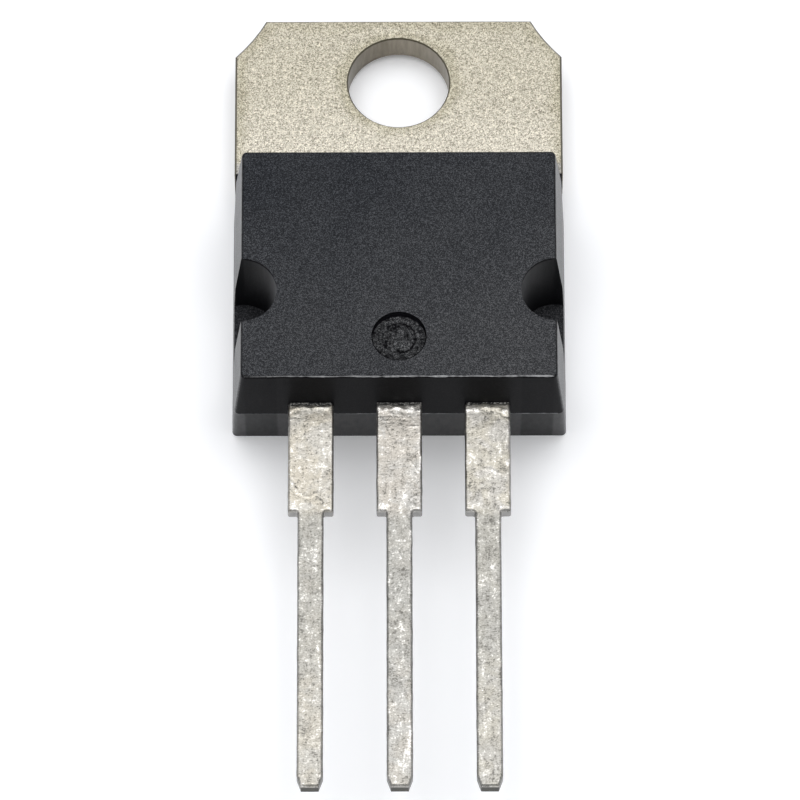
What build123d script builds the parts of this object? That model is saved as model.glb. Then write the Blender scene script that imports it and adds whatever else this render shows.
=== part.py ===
"""Three-lead power transistor in a moulded package with a bolt-down metal tab.

The part lies on its back. The origin is the centre of the mounting hole in the plane of the tab's
back. +X is across the package, +Y runs towards the free end of the tab, so the leads point along -Y,
and +Z is up through the package, towards its printed face. Sizes are in millimetres.
"""
import os

from build123d import *

# ---------------------------------------------------------------- stamped tab and die pad
tab_width = 10.0
tab_thickness = 1.27
hole_diameter = 3.1  # close clearance for an M3 screw
hole_edge_break = 0.04
hole_countersink = 0.3  # on the back, so that no burr keeps the tab off its cooler
hole_to_tab_end = 2.2
corner_cut_width = 0.94
corner_cut_length = 1.27
corner_cut_hollow = 0.06  # the punch leaves the cut corners slightly hollow
punch_roundover = 0.06  # outer edges that the punch pulled down, on the upper face
hole_to_shoulder = 3.2  # the tab narrows here, where the moulding takes over
pad_width = 8.8
pad_to_front = 2.25  # moulding beyond the pad, up to the parting line
lock_ledge_width = 0.4  # the pad is narrower below the ledge, so the moulding grips under it
lock_ledge_height = 0.5
groove_width = 0.5  # keeps moisture from creeping along the pad
groove_depth = 0.2
groove_inset = 0.7

# ---------------------------------------------------------------- leads
lead_pitch = 2.63
lead_thickness = 0.45
lead_underside_height = 2.7
lead_length = 12.56
lead_width = 0.76
lead_root_length = 3.54
lead_root_width = 1.35
shoulder_round = 0.06
lead_tip_width = 0.52
lead_tip_length = 0.34
lead_edge_break = 0.05
neck_bend_radius = 0.4
neck_level_length = 0.5  # level strip between the neck and the front of the body
post_width = 1.8
post_length = 1.5
post_depth = 1.3  # from the front of the body to the bonding post
post_shift = 0.22  # posts sit nearer the centre than their leads
lock_hole_diameter = 0.6

# ---------------------------------------------------------------- moulded body
body_height = 4.45
parting_height = 2.6  # the halves of the mould meet here, just under the leads
body_overhang = 0.03  # how far the foot of the moulding stands proud of each side of the tab
hole_to_body = 4.22
body_top_length = 7.69
lower_side_draft = 0.11  # each side leans in a little up to the parting level, and more above it
upper_side_draft = 0.21
back_draft = 0.1
front_draft = 0.26
front_undercut = 0.62  # below the leads the front slopes back towards the foot
corner_radius = 0.15
top_edge_radius = 0.09
ear_inset = 0.03  # small ears of moulding run along the tab as far as its shoulders
ear_overlap = 0.3
notch_radius = 1.06
hole_to_notch = 8.96
notch_skin = 0.29  # moulding left over the pad at the bottom of each notch
dimple_diameter = 1.65
dimple_depth = 0.15
hole_to_dimple = 10.54

# ---------------------------------------------------------------- die, solder and bond wires
die_size = 3.6
die_thickness = 0.25
solder_thickness = 0.05
solder_margin = 0.12  # solder that squeezed out round the die
die_to_pad_end = 2.68  # from the middle of the die
base_wire_diameter = 0.25
emitter_wire_diameter = 0.38
emitter_wire_spacing = 0.75
wire_loop_gap = 0.45  # clearance of a loop's crown over the posts
wire_rise_share = 0.3  # where along its span a loop reaches its crown
wire_fall_share = 0.72  # and where it leaves it again
wire_sides = 8  # the round wires are drawn with flats, so that their bends stay light
wire_press = 0.2  # share of its radius by which a bonded end is pressed down
wire_foot_length = 0.32
wire_bend_radius = 0.3
bond_inset = 0.55  # from the die's front edge to its bonds
bond_offset = 0.9  # from the die's centre line to the base bond, and to the middle of the emitter bonds

# ---------------------------------------------------------------- positions worked out from the sizes
half_tab = tab_width / 2
half_pad = pad_width / 2
tab_end_y = hole_to_tab_end
shoulder_y = -hole_to_shoulder
lead_top = lead_underside_height + lead_thickness
body_back_y = -hole_to_body
body_front_y = body_back_y - body_top_length
parting_y = body_front_y - front_draft
pad_end_y = parting_y + pad_to_front
pad_length = shoulder_y - pad_end_y
groove_y = body_back_y - groove_inset
half_foot = half_tab + body_overhang
half_parting = half_foot - lower_side_draft
half_top = half_parting - upper_side_draft
lead_end_y = parting_y - lead_length
lead_shoulder_y = parting_y - lead_root_length
post_front_y = parting_y + post_depth
post_back_y = post_front_y + post_length
post_middle_y = (post_front_y + post_back_y) / 2
die_y = pad_end_y + die_to_pad_end
die_bottom = tab_thickness + solder_thickness
die_top = die_bottom + die_thickness
bond_y = die_y - die_size / 2 + bond_inset
post_x = lead_pitch - post_shift


def outer_lead(centre_x, inner_y):
    """The straight part of a lead, from inner_y inside the body out to its clipped tip."""
    half_root = lead_root_width / 2
    half_lead = lead_width / 2
    half_tip = lead_tip_width / 2
    outline = Polyline(
        (0, inner_y),
        (half_root, inner_y),
        (half_root, lead_shoulder_y),
        (half_lead, lead_shoulder_y),
        (half_lead, lead_end_y + lead_tip_length),
        (half_tip, lead_end_y),
        (0, lead_end_y),
    )
    plan = make_face(outline + mirror(outline, about=Plane.YZ))
    corners = plan.vertices().filter_by_position(Axis.Y, lead_shoulder_y, lead_shoulder_y)
    plan = fillet(corners, shoulder_round)
    bar = extrude(Plane.XY.offset(lead_underside_height) * plan, lead_thickness)
    outside = bar.edges().filter_by(Plane.XY).filter_by(lambda edge: edge.center().Y < inner_y - 0.1)
    bar = chamfer(outside, lead_edge_break)
    return Pos(centre_x, 0, 0) * bar


def signal_lead(side):
    """Base or emitter lead: a bonding post inside the body and the lead that leads out of it."""
    post = Box(post_width, post_length, lead_thickness, align=(Align.CENTER, Align.MIN, Align.MIN))
    post = Pos(side * post_x, post_front_y, lead_underside_height) * post
    lead = outer_lead(side * lead_pitch, post_front_y + post_length / 3) + post
    hole_y = (parting_y + post_front_y) / 2
    hole = Pos(side * lead_pitch, hole_y, 0) * Cylinder(lock_hole_diameter / 2, 2 * body_height)
    return lead - hole


def plate():
    """The thick stamping: exposed tab with cut corners and hole, shoulders, and the die pad."""
    cut_start = (half_tab - corner_cut_width, tab_end_y)
    cut_end = (half_tab, tab_end_y - corner_cut_length)
    outline = (
        Line((0, tab_end_y), cut_start)
        + SagittaArc(cut_start, cut_end, -corner_cut_hollow)
        + Polyline(cut_end, (half_tab, shoulder_y), (half_pad, shoulder_y))
        + Polyline((half_pad, shoulder_y), (half_pad, pad_end_y), (0, pad_end_y))
    )
    plan = make_face(outline + mirror(outline, about=Plane.YZ))
    stamping = extrude(plan, tab_thickness)
    upper = stamping.edges().filter_by_position(Axis.Z, tab_thickness, tab_thickness)
    exposed = upper.filter_by(lambda edge: edge.center().Y > shoulder_y + 0.01)
    return screw_hole(chamfer(exposed, punch_roundover))


def screw_hole(stamping):
    """The stamping with its screw hole, just broken at the front and countersunk at the back."""
    stamping -= Cylinder(hole_diameter / 2, 4 * tab_thickness)
    rims = stamping.edges().filter_by(lambda edge: edge.is_closed).sort_by(Axis.Z)
    stamping = chamfer(rims[0], hole_countersink)
    rims = stamping.edges().filter_by(lambda edge: edge.is_closed).sort_by(Axis.Z)
    return chamfer(rims[-1], hole_edge_break)


def pad_locks():
    """What the press takes off the pad so that the moulding holds it: side ledges and a groove."""
    ledge = Box(2 * lock_ledge_width, pad_length, 2 * lock_ledge_height)
    ledge_y = (shoulder_y + pad_end_y) / 2
    ledges = [Pos(side * half_pad, ledge_y, 0) * ledge for side in (-1, 1)]
    half_groove = groove_width / 2
    section = Plane.YZ * make_face(
        Polyline(
            (groove_y - half_groove, tab_thickness),
            (groove_y, tab_thickness - groove_depth),
            (groove_y + half_groove, tab_thickness),
            close=True,
        )
    )
    groove = extrude(section, half_pad, both=True)
    return ledges + [groove]


def neck():
    """The thin strip that rises from the die pad to the centre lead, with two smooth bends."""
    low = tab_thickness - lead_thickness / 2
    high = lead_underside_height + lead_thickness / 2
    path = FilletPolyline(
        (pad_end_y + lead_thickness, low),
        (pad_end_y - neck_bend_radius, low),
        (parting_y + neck_level_length, high),
        (parting_y, high),
        radius=neck_bend_radius,
    )
    section = trace(path, lead_thickness)
    return extrude(Plane.YZ * section, lead_root_width / 2, both=True)


def collector_frame():
    """Tab, die pad, neck and centre lead, stamped from one strip of two thicknesses."""
    frame = plate()
    for lock in pad_locks():
        frame -= lock
    return frame + neck() + outer_lead(0, parting_y + corner_radius)


def die():
    """The silicon chip."""
    chip = Box(die_size, die_size, die_thickness, align=(Align.CENTER, Align.CENTER, Align.MIN))
    return Pos(0, die_y, die_bottom) * chip


def solder():
    """The layer of soft solder that holds the chip on the pad."""
    size = die_size + 2 * solder_margin
    layer = Box(size, size, solder_thickness, align=(Align.CENTER, Align.CENTER, Align.MIN))
    return Pos(0, die_y, tab_thickness) * layer


def bond_wire(start_x, end_x, diameter):
    """A wire looped from the chip's upper face to a bonding post, both ends pressed flat."""
    start = Vector(start_x, bond_y)
    run = Vector(end_x, post_middle_y) - start
    span = run.length
    foot_rise = diameter / 2 * (1 - wire_press)
    low = die_top + foot_rise
    high = lead_top + foot_rise
    crown = lead_top + wire_loop_gap + diameter / 2
    route = FilletPolyline(
        (-wire_foot_length, low),
        (0, low),
        (span * wire_rise_share, crown),
        (span * wire_fall_share, crown),
        (span, high),
        (span + wire_foot_length, high),
        radius=wire_bend_radius,
    )
    upright = Plane(origin=start, x_dir=run, z_dir=run.cross(Vector(0, 0, 1)))
    path = upright * route
    section = RegularPolygon(diameter / 2, wire_sides, major_radius=False, rotation=180 / wire_sides)
    return sweep(Plane(path @ 0, x_dir=(0, 0, 1), z_dir=path % 0) * section, path=path)


def moulding_blank():
    """The outer form of the moulding: two halves that meet at the parting line, with side ears."""

    def level(height, half_width, back_y, front_y):
        outline = RectangleRounded(2 * half_width, back_y - front_y, corner_radius)
        return Pos(0, (back_y + front_y) / 2, height) * outline

    parting_back_y = body_back_y + back_draft
    foot = level(0, half_foot, parting_back_y, parting_y + front_undercut)
    parting = level(parting_height, half_parting, parting_back_y, parting_y)
    top = level(body_height, half_top, body_back_y, body_front_y)
    upper = loft([parting, top], ruled=True)
    upper = fillet(upper.faces().sort_by(Axis.Z)[-1].edges(), top_edge_radius)
    lower = loft([foot, parting], ruled=True)
    ear_width = 2 * (half_tab - ear_inset)
    ear_length = shoulder_y - parting_back_y + ear_overlap
    ears = Box(ear_width, ear_length, tab_thickness, align=(Align.CENTER, Align.MAX, Align.MIN))
    return upper + lower + Pos(0, shoulder_y, 0) * ears


def moulded_body(contents):
    """The moulding with its side notches and ejector mark, closed round everything inside it."""
    body = moulding_blank()
    notch_floor = tab_thickness + notch_skin
    notch = Cylinder(notch_radius, body_height, align=(Align.CENTER, Align.CENTER, Align.MIN))
    for side in (-1, 1):
        body -= Pos(side * half_top, -hole_to_notch, notch_floor) * notch
    dimple = Cylinder(dimple_diameter / 2, 2 * dimple_depth)
    body -= Pos(0, -hole_to_dimple, body_height) * dimple
    for piece in contents:
        body -= piece
    return body


base_lead = signal_lead(-1)
emitter_lead = signal_lead(1)
silicon_die = die()
die_solder = solder()
base_bond_wire = bond_wire(-bond_offset, -post_x, base_wire_diameter)
emitter_wires = []
for shift in (-emitter_wire_spacing / 2, emitter_wire_spacing / 2):
    emitter_wires.append(bond_wire(bond_offset + shift, post_x + shift, emitter_wire_diameter))

pieces = {
    "collector_frame": collector_frame(),
    "base_lead": base_lead,
    "emitter_lead": emitter_lead,
    "silicon_die": silicon_die,
    "die_solder": die_solder,
    "base_bond_wire": base_bond_wire - silicon_die - base_lead,
    "emitter_bond_wire_inner": emitter_wires[0] - silicon_die - emitter_lead,
    "emitter_bond_wire_outer": emitter_wires[1] - silicon_die - emitter_lead,
}
pieces["moulded_body"] = moulded_body(list(pieces.values()))

os.makedirs("parts", exist_ok=True)
for name, piece in pieces.items():
    piece.label = name
    export_step(piece, f"parts/{name}.step")
    size = piece.bounding_box().size
    print(f"{name}: {piece.volume:.3f} mm3, {size.X:.2f} x {size.Y:.2f} x {size.Z:.2f} mm")
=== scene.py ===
# %% [markdown]
# # A power transistor, lying on its back
#
# The part is a small slab of black moulding compound on a plated metal tab, with three flat leads.
# Its shapes come ready made from the CAD frame, at their real size. What is left for this script
# is the finish of every surface, and the few forms that are too fine or too irregular for CAD:
# the skin of solder on the leads, the marks that the mould leaves, and thin lines of flash.
#
# Lengths in this script are named in millimetres, and `MM` turns them into Blender's metres.

# %% Load the frame
import math
from collections import namedtuple

import bmesh
import bpy
from mathutils import Euler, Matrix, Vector, noise


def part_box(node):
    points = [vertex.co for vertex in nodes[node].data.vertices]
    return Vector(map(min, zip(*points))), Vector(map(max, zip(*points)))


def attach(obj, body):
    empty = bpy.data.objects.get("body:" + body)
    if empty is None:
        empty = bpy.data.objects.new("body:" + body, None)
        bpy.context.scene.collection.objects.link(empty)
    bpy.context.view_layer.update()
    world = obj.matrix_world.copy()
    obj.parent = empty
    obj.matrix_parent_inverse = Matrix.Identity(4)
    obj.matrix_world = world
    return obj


MM = 0.001
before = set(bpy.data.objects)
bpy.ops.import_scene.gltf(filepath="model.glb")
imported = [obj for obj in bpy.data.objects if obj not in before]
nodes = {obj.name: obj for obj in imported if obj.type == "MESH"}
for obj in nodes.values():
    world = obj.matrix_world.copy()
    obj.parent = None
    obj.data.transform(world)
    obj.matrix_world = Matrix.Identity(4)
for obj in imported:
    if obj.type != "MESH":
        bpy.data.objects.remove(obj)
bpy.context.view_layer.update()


def corners_in_mm(node_name):
    """Lowest and highest corner of a CAD node, in millimetres."""
    low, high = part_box(node_name)
    return low / MM, high / MM


def add_object(name, data):
    """A new object in the scene for a mesh, a lamp or a camera."""
    made = bpy.data.objects.new(name, data)
    bpy.context.scene.collection.objects.link(made)
    return made


body_low, body_high = corners_in_mm("moulded_body")
frame_high = corners_in_mm("collector_frame")[1]
lead_low, lead_high = corners_in_mm("base_lead")
print("CAD nodes:", ", ".join(sorted(nodes)))

# %% [markdown]
# ## The camera
#
# The camera looks along +Y from the side of the leads, well above them. It could stand close, with
# a short lens, but then the near tips would look too large beside the far tab. So it has a long
# lens and stands far away, as for a catalogue. The aim point lies on the bench, under the middle of
# the part, and the sensor's width and the wanted field give the focal length by similar triangles.
# The camera is held by hand, so it is rolled by a small fraction of a degree.

# %% Camera
CAMERA_ELEVATION = 62
CAMERA_DISTANCE = 270
CAMERA_ROLL = -0.11
FIELD_WIDTH = 24.16
AIM = Vector((0.025, -10.33, 0))

camera_data = bpy.data.cameras.new("camera")
camera_data.lens = camera_data.sensor_width * CAMERA_DISTANCE / FIELD_WIDTH
camera = add_object("camera", camera_data)
tilt = math.radians(CAMERA_ELEVATION)
towards_camera = Vector((0, -math.cos(tilt), math.sin(tilt)))
camera.location = (AIM + CAMERA_DISTANCE * towards_camera) * MM
level = Euler((math.radians(90 - CAMERA_ELEVATION), 0, 0)).to_matrix()
roll = Euler((0, 0, math.radians(CAMERA_ROLL))).to_matrix()
camera.rotation_euler = (level @ roll).to_euler()
bpy.context.scene.camera = camera
bpy.context.scene.view_settings.view_transform = "Standard"
print(f"focal length {camera_data.lens:.0f} mm, {CAMERA_DISTANCE} mm from the bench")

# %% [markdown]
# ## Sums on sockets
#
# A material in Blender is a graph of nodes. Each Math node could be wired by hand, but that hides
# the formula. So a small class wraps an output socket and lets Python's own operators add the
# nodes. Each operator has its reflected form too, so `1 - mask` works as well as `mask - 1`. The
# smaller and the larger of two numbers have names instead, `least` and `most`.

# %% A socket that can be reckoned with


class Wire:
    """An output socket. Sums on it add Math nodes to the same material."""

    def __init__(self, finish, socket):
        self.finish = finish
        self.socket = socket

    def maths(self, operation, *terms):
        return self.finish.node("ShaderNodeMath", {"operation": operation}, dict(enumerate(terms)))

    def __add__(self, other):
        return self.maths("ADD", self, other)

    def __radd__(self, other):
        return self.maths("ADD", other, self)

    def __sub__(self, other):
        return self.maths("SUBTRACT", self, other)

    def __rsub__(self, other):
        return self.maths("SUBTRACT", other, self)

    def __mul__(self, other):
        return self.maths("MULTIPLY", self, other)

    def __rmul__(self, other):
        return self.maths("MULTIPLY", other, self)

    def __pow__(self, other):
        return self.maths("POWER", self, other)

    def __rpow__(self, other):
        return self.maths("POWER", other, self)

    def __abs__(self):
        return self.maths("ABSOLUTE", self)

    def least(self, other):
        return self.maths("MINIMUM", self, other)

    def most(self, other):
        return self.maths("MAXIMUM", self, other)


print("operators:", ", ".join(name for name in vars(Wire) if name.startswith("__")))

# %% [markdown]
# ## Nodes in general
#
# Each of the other nodes could have a few lines of its own, but a finish has dozens of them. So
# they all come from one method, `node`. It takes the node's type, then its settings, because some
# settings change which sockets the node has, and then a value or a link for each socket. The short
# helpers after it are only names for the calls that come up again and again: noise, a soft step
# from 0 to 1, a mix of two colours, and the surface shader itself. A world has a graph of the same
# kind, so the class can take one in place of a new material.

# %% A finish and its nodes
Parts = namedtuple("Parts", "x y z")


class Finish:
    """A material, or a world, with one way to add nodes to it."""

    def __init__(self, name, owner=None):
        self.owner = owner or bpy.data.materials.new(name)
        self.owner.use_nodes = True
        self.nodes = self.owner.node_tree.nodes
        self.links = self.owner.node_tree.links
        self.nodes.clear()

    def node(self, kind, settings=None, inputs=None, output=0):
        """Add a node: first its settings, then a value or a link for each named input."""
        made = self.nodes.new(kind)
        for name, value in (settings or {}).items():
            setattr(made, name, value)
        for key, value in (inputs or {}).items():
            socket = self.find(made.inputs, key)
            if isinstance(value, Wire):
                self.links.new(value.socket, socket)
            else:
                socket.default_value = value
        return Wire(self, self.find(made.outputs, output)) if made.outputs else None

    @staticmethod
    def find(sockets, key):
        """A socket by its place, its identifier or its name, in that order."""
        if isinstance(key, int):
            return sockets[key]
        for socket in sockets:
            if socket.identifier == key:
                return socket
        return sockets[key]

    def millimetres(self):
        """Where the shaded point lies on the part, in millimetres."""
        place = self.node("ShaderNodeTexCoord", output="Object")
        values = {0: place, "Scale": 1 / MM}
        return self.node("ShaderNodeVectorMath", {"operation": "SCALE"}, values)

    def split(self, vector):
        """The three parts of a vector, as separate wires."""
        first = self.node("ShaderNodeSeparateXYZ", {}, {0: vector})
        return Parts(*(Wire(self, socket) for socket in first.socket.node.outputs))

    def stretch(self, vector, x, y, z):
        """A vector with each of its parts multiplied by its own number."""
        values = {0: vector, 1: (x, y, z)}
        return self.node("ShaderNodeVectorMath", {"operation": "MULTIPLY"}, values)

    def facing(self):
        """The three parts of the direction in which the surface faces."""
        return self.split(self.node("ShaderNodeNewGeometry", output="Normal"))

    def painted(self, name):
        """A number that the mesh itself carries at each of its points."""
        return self.node("ShaderNodeAttribute", {"attribute_name": name}, output="Fac")

    def noise(self, place, per_mm, detail, roughness, distortion=0.0):
        """Cloudy noise from 0 to 1 with about so many blobs to the millimetre."""
        values = {"Vector": place, "Scale": per_mm, "Detail": detail}
        values |= {"Roughness": roughness, "Distortion": distortion}
        return self.node("ShaderNodeTexNoise", {}, values, "Fac")

    def step(self, value, start, end):
        """A soft step: 0 before start, 1 after end. It falls if start is the larger."""
        results = (0.0, 1.0) if start < end else (1.0, 0.0)
        values = (value, min(start, end), max(start, end), *results)
        settings = {"interpolation_type": "SMOOTHSTEP"}
        return self.node("ShaderNodeMapRange", settings, dict(enumerate(values)))

    def mix(self, share, first, second):
        """A colour that goes from the first to the second as share goes from 0 to 1."""
        values = {"Factor_Float": share}
        for key, colour in (("A_Color", first), ("B_Color", second)):
            values[key] = (*colour, 1) if isinstance(colour, tuple) else colour
        return self.node("ShaderNodeMix", {"data_type": "RGBA"}, values, "Result_Color")

    def bump(self, height, depth_mm):
        """Normals bent by a height map whose full range is so many millimetres deep."""
        values = {"Height": height, "Distance": depth_mm * MM, "Strength": 1.0}
        return self.node("ShaderNodeBump", {}, values)

    def surface(self, **inputs):
        """The surface shader, joined to the output. Input names have _ for a space."""
        values = {key.replace("_", " "): value for key, value in inputs.items()}
        for key, value in values.items():
            if isinstance(value, tuple) and len(value) == 3:
                values[key] = (*value, 1)
        shader = self.node("ShaderNodeBsdfPrincipled", {}, values)
        self.node("ShaderNodeOutputMaterial", {}, {"Surface": shader})
        print(f"{self.owner.name}: {len(self.nodes)} nodes")
        return self.owner


def dress(node_name, material):
    """Put a finish on a CAD node in place of its plain one."""
    for slot in nodes[node_name].material_slots:
        slot.material = material


print("helpers:", ", ".join(name for name in vars(Finish) if not name.startswith("_")))

# %% [markdown]
# ## The bench
#
# The bench is a plain white sheet. It has to look white and still hold the part's soft shadow. More
# light would whiten it, but it would burn out the pale metal too. So most of what the sheet shows
# is the true diffuse light, and a little is added for rays from the camera and for reflections.
# From below the sheet is clear, so that the back of the part can be looked at.

# %% Bench
BENCH_SIZE = 900
BENCH_GAP = 0.01
BENCH_COLOUR = (0.90, 0.912, 0.945)
BENCH_LIFT = 0.165


def bench_finish():
    """White card that the camera sees a little brighter than it is lit."""
    finish = Finish("white_card")
    path = finish.node("ShaderNodeLightPath", output="Is Camera Ray")
    outputs = path.socket.node.outputs
    glossy = Wire(finish, outputs["Is Glossy Ray"])
    through = Wire(finish, outputs["Is Transmission Ray"])
    seen = path.most(glossy).most(through)
    card = finish.node("ShaderNodeBsdfDiffuse", {}, {"Color": (*BENCH_COLOUR, 1)})
    lift = finish.node("ShaderNodeEmission", {}, {"Strength": seen * BENCH_LIFT})
    lit = finish.node("ShaderNodeAddShader", {}, {0: card, 1: lift})
    clear = finish.node("ShaderNodeBsdfTransparent")
    from_below = finish.node("ShaderNodeNewGeometry", output="Backfacing")
    sheet = finish.node("ShaderNodeMixShader", {}, {0: from_below, 1: lit, 2: clear})
    finish.node("ShaderNodeOutputMaterial", {}, {"Surface": sheet})
    return finish.owner


bench_mesh = bpy.data.meshes.new("bench")
half_bench = BENCH_SIZE / 2 * MM
corner_signs = [(-1, -1), (1, -1), (1, 1), (-1, 1)]
bench_corners = [(x * half_bench, y * half_bench, -BENCH_GAP * MM) for x, y in corner_signs]
bench_mesh.from_pydata(bench_corners, [], [(0, 1, 2, 3)])
bench_mesh.materials.append(bench_finish())
bench = add_object("bench", bench_mesh)
print(f"bench {BENCH_SIZE} mm square")

# %% [markdown]
# ## The light
#
# The part stands in even, plain light, as in a light tent. A panorama of a real room could light
# it, but its windows would show in the metal. So the world has one pale colour. It is brightest
# near the horizon, where a tent has its walls, which gives upright faces something to mirror. A
# soft box behind the part gives the flat metal its sheen, and two at the sides brighten the flanks.
# The strongest is large and overhead, and makes the soft shadows. Hardly any light comes from the
# front, so the front of the moulding stays dark.

# %% Light
ZENITH_STRENGTH = 0.26
HORIZON_STRENGTH = 0.80
ROOM_DIM_ABOVE = 0.55
WORLD_COLOUR = (0.955, 0.975, 1.0)
LAMP_COLOUR = (1.0, 0.992, 0.975)


def pale_room():
    """A world of one pale colour that dims from the horizon upwards."""
    world = bpy.data.worlds.new("pale_room")
    room = Finish("pale_room", world)
    direction = room.split(room.node("ShaderNodeTexCoord", output="Generated"))
    above = room.step(direction.z, 0.0, ROOM_DIM_ABOVE)
    strength = HORIZON_STRENGTH - (HORIZON_STRENGTH - ZENITH_STRENGTH) * above
    values = {"Color": (*WORLD_COLOUR, 1), "Strength": strength}
    glow = room.node("ShaderNodeBackground", {}, values)
    room.node("ShaderNodeOutputWorld", {}, {"Surface": glow})
    bpy.context.scene.world = world
    print(f"world: {HORIZON_STRENGTH} at the horizon, {ZENITH_STRENGTH} overhead")


def soft_box(name, azimuth, elevation, distance, size, power):
    """A square lamp that faces the part. Its azimuth counts from behind the tab, to the left."""
    lamp_data = bpy.data.lights.new(name, "AREA")
    lamp_data.shape = "SQUARE"
    lamp_data.size = size * MM
    lamp_data.energy = power
    lamp_data.color = LAMP_COLOUR
    lamp = add_object(name, lamp_data)
    away = Euler((math.radians(elevation), 0, math.radians(azimuth))).to_matrix() @ Vector((0, 1, 0))
    lamp.location = (AIM + distance * away) * MM
    lamp.rotation_euler = away.to_track_quat("Z", "Y").to_euler()
    print(f"{name}: {power} W at {elevation} degrees")


pale_room()
soft_box("back_box", azimuth=0, elevation=64, distance=500, size=420, power=0.60)
soft_box("top_box", azimuth=180, elevation=85, distance=700, size=620, power=1.75)
soft_box("left_box", azimuth=90, elevation=60, distance=500, size=420, power=0.66)
soft_box("right_box", azimuth=-90, elevation=60, distance=500, size=420, power=0.66)
soft_box("front_box", azimuth=180, elevation=64, distance=500, size=420, power=0.08)

# %% [markdown]
# ## Moulding compound
#
# The body is black epoxy packed with ground silica. The cavity's top is spark-eroded, so the
# upper face comes out sandy and dull, while the draft faces were polished to let the part go, and
# come out smooth and darker, with faint streaks where they slid out. These could be two materials
# on two sets of faces. Here one does both, because the direction of the surface tells them apart,
# and the change from one to the other is then soft, as on a real edge. Fine noise makes the sand,
# both in height and in colour, because a silica grain near the surface shows as a pale fleck.

# %% Grains of silica
GRAIN_DEPTH = 0.010


def silica(finish, place):
    """Coarse grains, fine grains, and the pale flecks where the two pile up."""
    coarse = finish.noise(place, 21, 2, 0.6, 0.6)
    fine = finish.noise(place, 38, 1, 0.5)
    flecks = finish.step(coarse * 0.45 + fine * 0.55, 0.44, 0.66)
    return coarse, fine, flecks


print(f"grains stand up to {GRAIN_DEPTH} mm high")

# %% [markdown]
# Some parts of the body look different because of where they are. The long sides rub along the
# tube in which such parts are sold, so they are shinier and show their grains, but not at the lower
# corners of the front. The walls of the two clamp notches carry a painted highlight, stronger on
# the left, and have a dull rim. The notch floors and the ears lie deep, where less light comes, so
# their sand is painted darker as shade. Each could be a group of faces with a material of its own,
# but then its border would be a hard line. So each is a mask, worked out from place and direction.

# %% Masks on the moulding
PARTING_HEIGHT = 2.6
PLATE_THICKNESS = 1.27
NOTCH_INNER_X = 3.6
SIDE_X = 4.6


def shiny_sides(finish, place, across, smooth):
    """1 on the long sides, and 0 elsewhere and at the lower corners of the front."""
    sideways = smooth * finish.step(abs(across), 0.6, 0.85)
    at_side = finish.step(abs(place.x), SIDE_X, SIDE_X + 0.08)
    upper_half = finish.step(place.z, PARTING_HEIGHT - 0.10, PARTING_HEIGHT - 0.02)
    off_corner = finish.step(place.y, body_low.y + 0.15, body_low.y + 0.60)
    return sideways * at_side * upper_half.most(off_corner)


def notch_walls(finish, place, smooth):
    """1 on the walls of the two notches, and then 1 on the rim alone."""
    in_notch = finish.step(abs(place.x), NOTCH_INNER_X, NOTCH_INNER_X + 0.1)
    wall = smooth * in_notch * finish.step(abs(place.x), SIDE_X + 0.06, SIDE_X - 0.04)
    return wall, wall * finish.step(place.z, body_high.z - 0.11, body_high.z - 0.05)


def recess_painted_shade(finish, place):
    """How much the sand is darkened by painted shade on the notch floors and on the ears."""
    notch_floor = finish.step(place.z, body_high.z - 0.3, body_high.z - 0.6)
    ears = finish.step(place.z, PLATE_THICKNESS + 0.3, PLATE_THICKNESS + 0.1)
    return notch_floor * 0.4 + ears * 0.5


print(f"clamp notches from x {NOTCH_INNER_X} to {SIDE_X} mm, parting at z {PARTING_HEIGHT} mm")

# %% [markdown]
# The compound reflects less than most plastics, and that is one number for the whole surface, set
# on the shader itself. It could be raised where the long sides shine, but the compound is the same
# there and only rubbed. So a coat stands for the shine, and its weight follows the masks.

# %% Finish of the moulding
MOULDING_IOR = 1.2
SHINE_IOR = 1.36


def sand_colour(finish, place, clouds, flecks):
    """Black compound with pale flecks, paler towards the leads by painted light, and paler to the
    right.
    """
    towards_leads = finish.step(place.y, body_high.y, body_low.y)
    to_the_right = finish.step(place.x, body_low.x, body_high.x)
    # Painted light: the sand is paler towards the leads. The rest of the mix is tone.
    tone_and_painted_light = towards_leads * 0.65 + to_the_right * 0.3 + (clouds - 0.5) * 0.7
    dark = finish.mix(tone_and_painted_light, (0.0056, 0.0067, 0.0093), (0.0195, 0.0205, 0.0232))
    pale = finish.mix(tone_and_painted_light, (0.066, 0.071, 0.082), (0.117, 0.120, 0.128))
    return finish.mix(flecks, dark, pale)


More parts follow.
